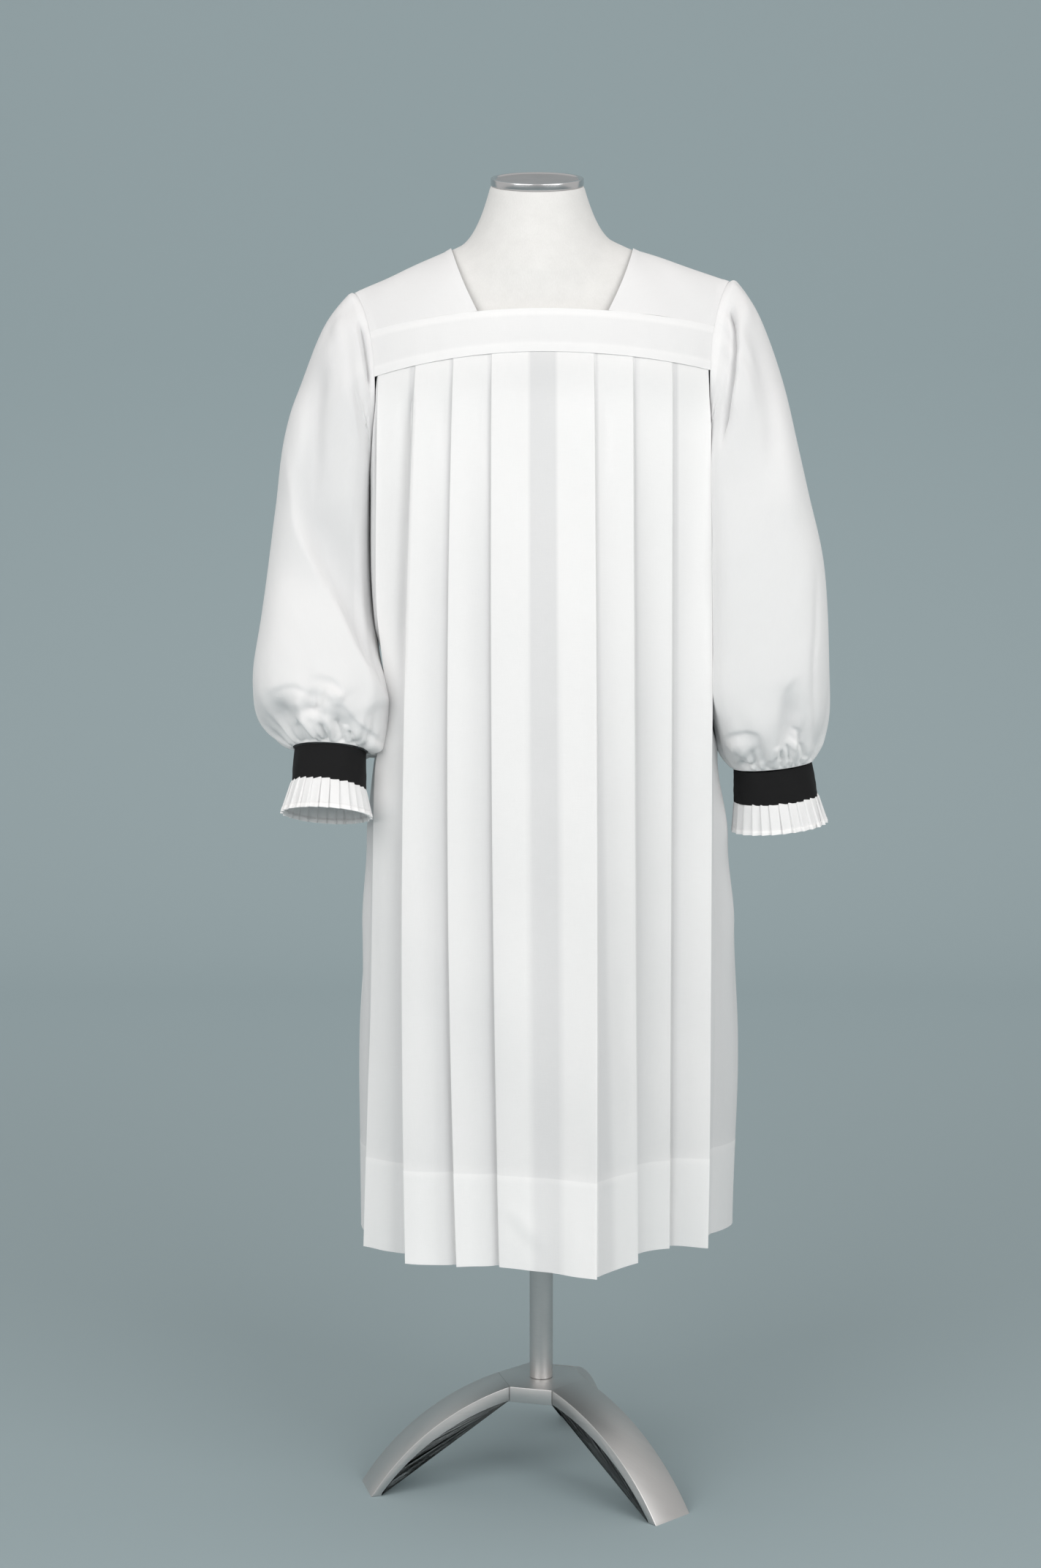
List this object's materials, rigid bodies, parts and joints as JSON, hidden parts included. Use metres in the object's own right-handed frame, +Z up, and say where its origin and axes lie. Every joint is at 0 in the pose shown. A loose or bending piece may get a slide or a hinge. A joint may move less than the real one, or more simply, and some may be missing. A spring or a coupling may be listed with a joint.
{
  "type": "rochet on a dress form",
  "caption": "White pleated vestment with a plain yoke, full sleeves, black wristbands and small frills, worn on a limbless dress form with an arched-leg stand.",
  "frame": {"origin": "on the floor, below the middle of the stand, on the post's axis", "axes": "+Z up, -Y the front of the garment, +X to the viewer's right as seen from the front"},
  "size_m": [0.7123, 0.4718, 1.661],
  "materials": {
    "cloth": "fine plain weave, slightly sheer",
    "band": "matt black wool cloth",
    "cover": "stretched white cotton jersey",
    "chrome": "polished rim",
    "steel": "brushed lengthways"
  },
  "bodies": {
    "root": {"yoke_front": "cloth", "yoke_back": "cloth", "shoulder_left": "cloth", "shoulder_right": "cloth", "front_panel": "cloth", "back_panel": "cloth", "sleeve_left": "cloth", "sleeve_right": "cloth", "cuff_frill_left": "cloth", "cuff_frill_right": "cloth", "wristband_left": "band", "wristband_right": "band", "form_torso": "cover", "neck_cap": "chrome", "post": "steel", "stand_hub": "steel", "stand_leg_1": "steel", "stand_leg_2": "steel", "stand_leg_3": "steel"}
  },
  "joints": []
}
